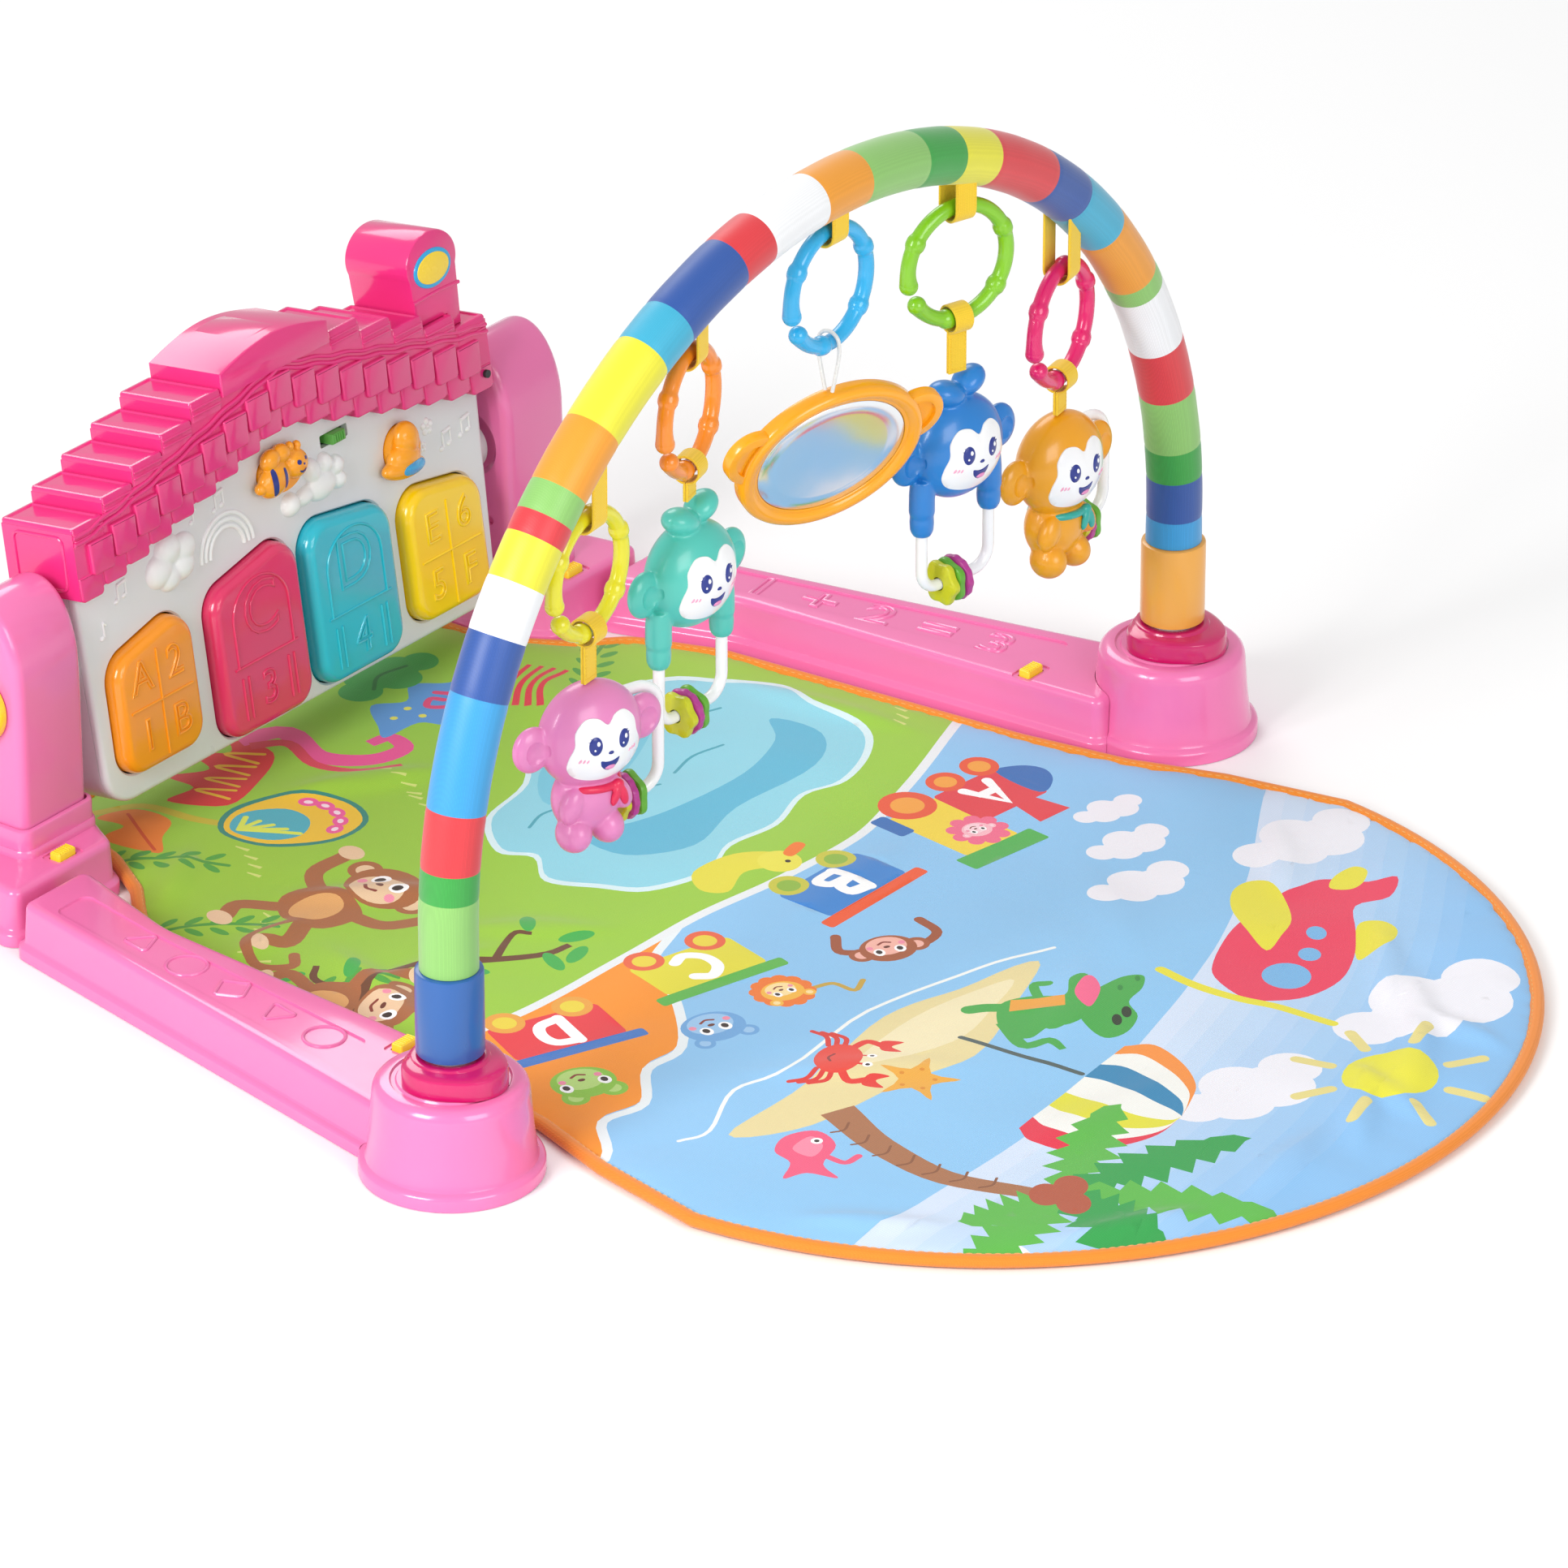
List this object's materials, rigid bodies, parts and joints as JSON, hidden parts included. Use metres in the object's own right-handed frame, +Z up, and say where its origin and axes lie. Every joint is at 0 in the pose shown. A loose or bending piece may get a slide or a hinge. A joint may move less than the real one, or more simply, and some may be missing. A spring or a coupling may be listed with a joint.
{
  "type": "activity play gym",
  "caption": "Floor play gym: printed mat, side arms, arch with hanging rings, toys and a mirror, and a tilting toy piano with press keys.",
  "frame": {"origin": "on the floor under the middle of the bounding box", "axes": "+X along the arch to the right foot, +Y towards the piano, +Z up"},
  "size_m": [0.692, 0.79, 0.4288],
  "materials": {
    "arch_fabric": "printed woven cotton",
    "battery_pack": "black",
    "beads": "three coloured discs",
    "bee_button": "moulded gloss",
    "bell_button": "moulded gloss",
    "blue_cuff": "moulded gloss",
    "blue_monkey": "moulded gloss",
    "blue_ring": "moulded gloss",
    "circuit_board": "green circuit board",
    "cord": "smooth cord",
    "frame_pink": "moulded gloss",
    "green_ring": "moulded gloss",
    "mat_fabric": "printed polyester, lightly padded",
    "mirror_film": "mirror film on plastic",
    "orange_cuff": "moulded gloss",
    "orange_frame": "moulded gloss",
    "orange_key": "moulded gloss",
    "orange_monkey": "moulded gloss",
    "orange_ring": "moulded gloss",
    "panel_grey": "moulded gloss",
    "pink_monkey": "moulded gloss",
    "raspberry_key": "moulded gloss",
    "raspberry_plastic": "moulded gloss",
    "raspberry_ring": "moulded gloss",
    "roof_pink": "moulded gloss",
    "speaker": "black",
    "teal_monkey": "moulded gloss",
    "turquoise_key": "moulded gloss",
    "volume_switch": "moulded gloss",
    "webbing": "woven webbing",
    "white_plastic": "moulded gloss",
    "white_tube": "white tube",
    "yellow_key": "moulded gloss",
    "yellow_plastic": "moulded gloss",
    "yellow_ring": "moulded gloss"
  },
  "bodies": {
    "root": {"left_arch_socket": "raspberry_plastic", "left_arm": "frame_pink", "left_foot": "frame_pink", "left_post": "frame_pink", "left_post_base": "frame_pink", "mat": "mat_fabric", "right_arch_socket": "raspberry_plastic", "right_arm": "frame_pink", "right_foot": "frame_pink", "right_post": "frame_pink", "right_post_base": "frame_pink"},
    "piano": {"piano_front": "panel_grey", "piano_back": "panel_grey", "roof": "roof_pink", "roof_sign": "roof_pink", "circuit_board": "circuit_board", "speaker": "speaker", "battery_door": "panel_grey", "battery_pack": "battery_pack"},
    "arch": {"arch_tube": "white_tube", "arch_cover": "arch_fabric", "left_cuff": "blue_cuff", "right_cuff": "orange_cuff"},
    "orange_key": {"orange_key": "orange_key"},
    "raspberry_key": {"raspberry_key": "raspberry_key"},
    "turquoise_key": {"turquoise_key": "turquoise_key"},
    "yellow_key": {"yellow_key": "yellow_key"},
    "bee_button": {"bee_button": "bee_button"},
    "bell_button": {"bell_button": "bell_button"},
    "volume_switch": {"volume_switch": "volume_switch"},
    "left_front_latch_tab": {"left_front_latch_tab": "yellow_plastic"},
    "left_rear_latch_tab": {"left_rear_latch_tab": "yellow_plastic"},
    "left_pivot_knob": {"left_pivot_knob": "yellow_plastic"},
    "right_front_latch_tab": {"right_front_latch_tab": "yellow_plastic"},
    "right_rear_latch_tab": {"right_rear_latch_tab": "yellow_plastic"},
    "right_pivot_knob": {"right_pivot_knob": "yellow_plastic"},
    "yellow_ring": {"yellow_ring": "yellow_ring"},
    "pink_toy": {"pink_monkey": "pink_monkey", "pink_strap": "webbing", "pink_handle": "white_plastic"},
    "pink_beads": {"pink_beads": "beads"},
    "orange_ring": {"orange_ring": "orange_ring"},
    "teal_toy": {"teal_monkey": "teal_monkey", "teal_strap": "webbing", "teal_handle": "white_plastic"},
    "teal_beads": {"teal_beads": "beads"},
    "blue_ring": {"blue_ring": "blue_ring"},
    "mirror": {"mirror_frame": "orange_frame", "mirror_sheet": "mirror_film", "mirror_cord": "cord"},
    "green_ring": {"green_ring": "green_ring"},
    "blue_toy": {"blue_monkey": "blue_monkey", "blue_strap": "webbing", "blue_handle": "white_plastic"},
    "blue_beads": {"blue_beads": "beads"},
    "raspberry_ring": {"raspberry_ring": "raspberry_ring"},
    "orange_toy": {"orange_monkey": "orange_monkey", "orange_strap": "webbing", "orange_handle": "white_plastic"},
    "orange_beads": {"orange_beads": "beads"}
  },
  "joints": [
    {"name": "piano_tilt", "type": "hinge", "parent": "root", "child": "piano", "pos_m": [0, 0.3545, 0.108], "axis": [1, 0, 0], "range_deg": [-60, 8]},
    {"name": "arch_lift", "type": "slide", "parent": "root", "child": "arch", "axis": [0, 0, 1], "range_m": [0, 0.07]},
    {"name": "orange_key_press", "type": "slide", "parent": "piano", "child": "orange_key", "axis": [0, 0.9903, -0.1392], "range_m": [0, 0.003], "stiffness_N_per_m": 150},
    {"name": "raspberry_key_press", "type": "slide", "parent": "piano", "child": "raspberry_key", "axis": [0, 0.9903, -0.1392], "range_m": [0, 0.003], "stiffness_N_per_m": 150},
    {"name": "turquoise_key_press", "type": "slide", "parent": "piano", "child": "turquoise_key", "axis": [0, 0.9903, -0.1392], "range_m": [0, 0.003], "stiffness_N_per_m": 150},
    {"name": "yellow_key_press", "type": "slide", "parent": "piano", "child": "yellow_key", "axis": [0, 0.9903, -0.1392], "range_m": [0, 0.003], "stiffness_N_per_m": 150},
    {"name": "bee_button_press", "type": "slide", "parent": "piano", "child": "bee_button", "axis": [0, 0.9903, -0.1392], "range_m": [0, 0.002], "stiffness_N_per_m": 150},
    {"name": "bell_button_press", "type": "slide", "parent": "piano", "child": "bell_button", "axis": [0, 0.9903, -0.1392], "range_m": [0, 0.002], "stiffness_N_per_m": 150},
    {"name": "volume_switch_slide", "type": "slide", "parent": "piano", "child": "volume_switch", "axis": [1, 0, 0], "range_m": [-0.005, 0.005]},
    {"name": "left_front_latch_tab_press", "type": "slide", "parent": "root", "child": "left_front_latch_tab", "axis": [0, 0, -1], "range_m": [0, 0.0025], "stiffness_N_per_m": 200},
    {"name": "left_rear_latch_tab_press", "type": "slide", "parent": "root", "child": "left_rear_latch_tab", "axis": [0, 0, -1], "range_m": [0, 0.0025], "stiffness_N_per_m": 200},
    {"name": "left_pivot_knob_turn", "type": "hinge", "parent": "root", "child": "left_pivot_knob", "pos_m": [-0.222, 0.3545, 0.108], "axis": [1, 0, 0], "range_deg": [-90, 90]},
    {"name": "right_front_latch_tab_press", "type": "slide", "parent": "root", "child": "right_front_latch_tab", "axis": [0, 0, -1], "range_m": [0, 0.0025], "stiffness_N_per_m": 200},
    {"name": "right_rear_latch_tab_press", "type": "slide", "parent": "root", "child": "right_rear_latch_tab", "axis": [0, 0, -1], "range_m": [0, 0.0025], "stiffness_N_per_m": 200},
    {"name": "right_pivot_knob_turn", "type": "hinge", "parent": "root", "child": "right_pivot_knob", "pos_m": [0.222, 0.3545, 0.108], "axis": [1, 0, 0], "range_deg": [-90, 90]},
    {"name": "yellow_ring_swing", "type": "hinge", "parent": "arch", "child": "yellow_ring", "pos_m": [-0.19, -0.015, 0.30952], "axis": [0.9945, 0.1045, 0], "range_deg": [-30, 30]},
    {"name": "pink_toy_swing", "type": "hinge", "parent": "yellow_ring", "child": "pink_toy", "pos_m": [-0.19, -0.015, 0.24852], "axis": [0.9945, 0.1045, 0], "range_deg": [-25, 25]},
    {"name": "pink_beads_spin", "type": "hinge", "parent": "pink_toy", "child": "pink_beads", "pos_m": [-0.16203, -0.01414, 0.14702], "axis": [0.9563, -0.2924, 0], "continuous": true},
    {"name": "orange_ring_swing", "type": "hinge", "parent": "arch", "child": "orange_ring", "pos_m": [-0.11, -0.015, 0.36683], "axis": [0.9659, 0.2588, 0], "range_deg": [-30, 30]},
    {"name": "teal_toy_swing", "type": "hinge", "parent": "orange_ring", "child": "teal_toy", "pos_m": [-0.11, -0.015, 0.30583], "axis": [0.9659, 0.2588, 0], "range_deg": [-25, 25]},
    {"name": "teal_beads_spin", "type": "hinge", "parent": "teal_toy", "child": "teal_beads", "pos_m": [-0.1145, -0.01484, 0.17433], "axis": [0.9994, -0.0349, 0], "continuous": true},
    {"name": "blue_ring_swing", "type": "hinge", "parent": "arch", "child": "blue_ring", "pos_m": [0.002, -0.015, 0.39219], "axis": [1, 0, 0], "range_deg": [-30, 30]},
    {"name": "mirror_swing", "type": "hinge", "parent": "blue_ring", "child": "mirror", "pos_m": [0.002, -0.015, 0.33119], "axis": [1, 0, 0], "range_deg": [-25, 25]},
    {"name": "green_ring_swing", "type": "hinge", "parent": "arch", "child": "green_ring", "pos_m": [0.108, -0.015, 0.36764], "axis": [0.9563, -0.2924, 0], "range_deg": [-30, 30]},
    {"name": "blue_toy_swing", "type": "hinge", "parent": "green_ring", "child": "blue_toy", "pos_m": [0.108, -0.015, 0.30664], "axis": [0.9563, -0.2924, 0], "range_deg": [-25, 25]},
    {"name": "blue_beads_spin", "type": "hinge", "parent": "blue_toy", "child": "blue_beads", "pos_m": [0.10354, -0.01437, 0.16214], "axis": [0.9903, -0.1392, 0], "continuous": true},
    {"name": "raspberry_ring_swing", "type": "hinge", "parent": "arch", "child": "raspberry_ring", "pos_m": [0.197, -0.015, 0.30214], "axis": [0.9848, 0.1736, 0], "range_deg": [-30, 30]},
    {"name": "orange_toy_swing", "type": "hinge", "parent": "raspberry_ring", "child": "orange_toy", "pos_m": [0.197, -0.015, 0.24114], "axis": [0.9848, 0.1736, 0], "range_deg": [-25, 25]},
    {"name": "orange_beads_spin", "type": "hinge", "parent": "orange_toy", "child": "orange_beads", "pos_m": [0.224, -0.00764, 0.14714], "axis": [0.9981, -0.061, 0], "continuous": true}
  ]
}
